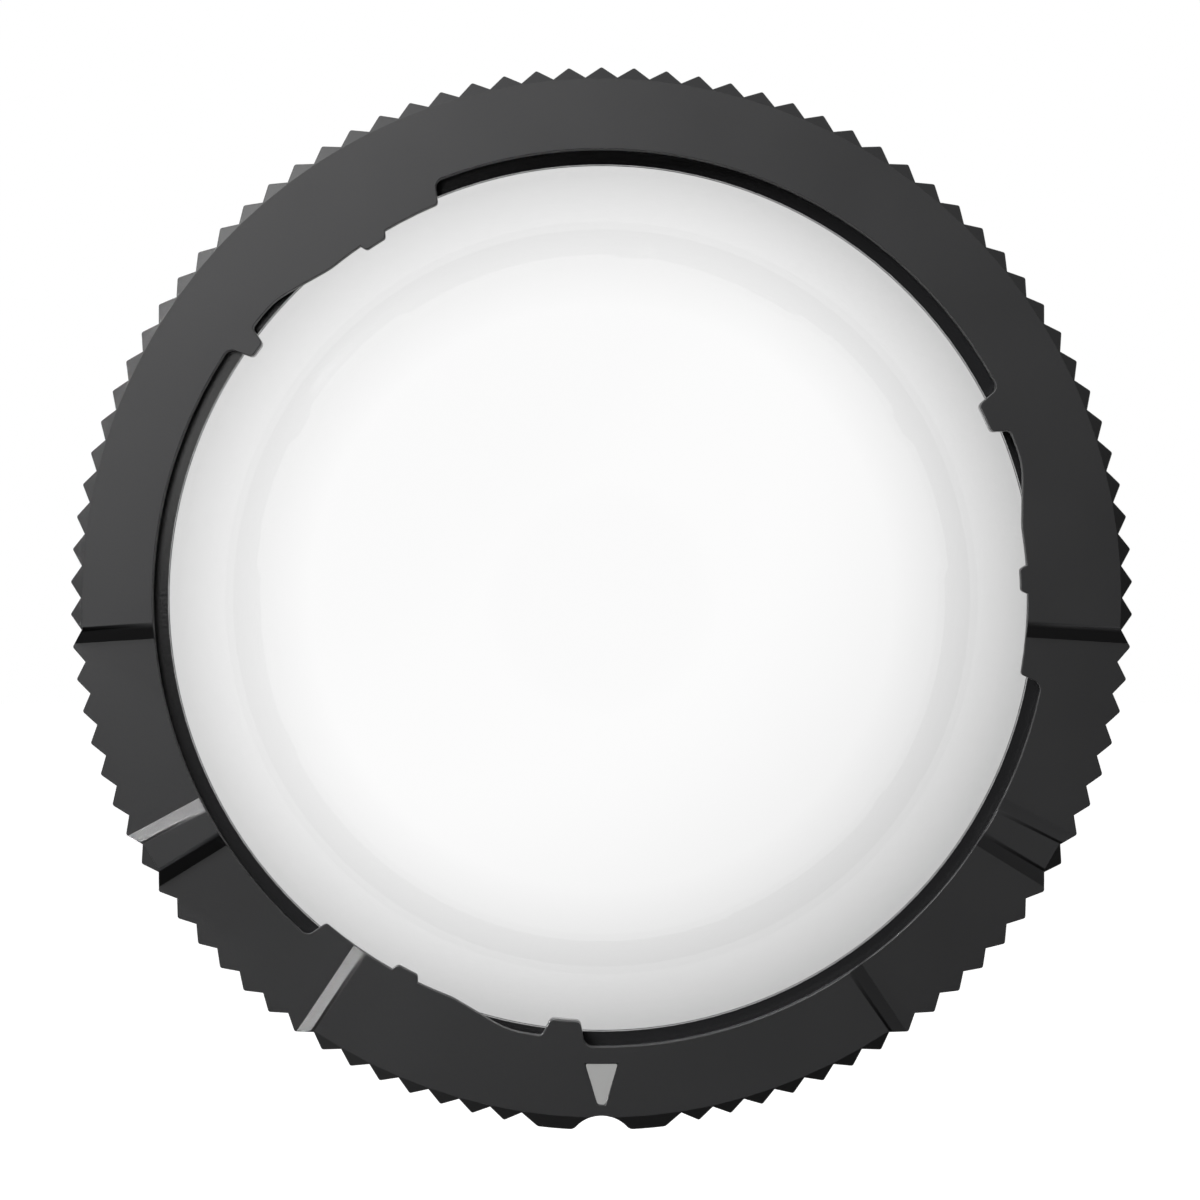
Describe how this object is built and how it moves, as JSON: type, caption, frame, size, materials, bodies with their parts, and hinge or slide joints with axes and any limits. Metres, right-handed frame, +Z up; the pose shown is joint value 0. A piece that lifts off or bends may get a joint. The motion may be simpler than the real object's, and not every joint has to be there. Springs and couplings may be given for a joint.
{
  "type": "lens guard",
  "caption": "Clear domed lens guard in a black toothed grip ring that twists on to an action camera's lens with bayonet lugs.",
  "frame": {"origin": "centre of the bayonet, on the plane of the rear face that meets the camera", "axes": "+Y along the optical axis, out of the dome; +Z up, with the index mark at the bottom; +X to the right as seen from behind"},
  "size_m": [0.04, 0.0124, 0.04],
  "materials": {
    "black_polycarbonate": "fine moulded texture, satin",
    "clear_glass": "polished, clear",
    "grey_paint": "matt filled paint"
  },
  "bodies": {
    "root": {"bayonet_ring": "black_polycarbonate", "dome": "clear_glass", "index_mark": "grey_paint"}
  },
  "joints": []
}
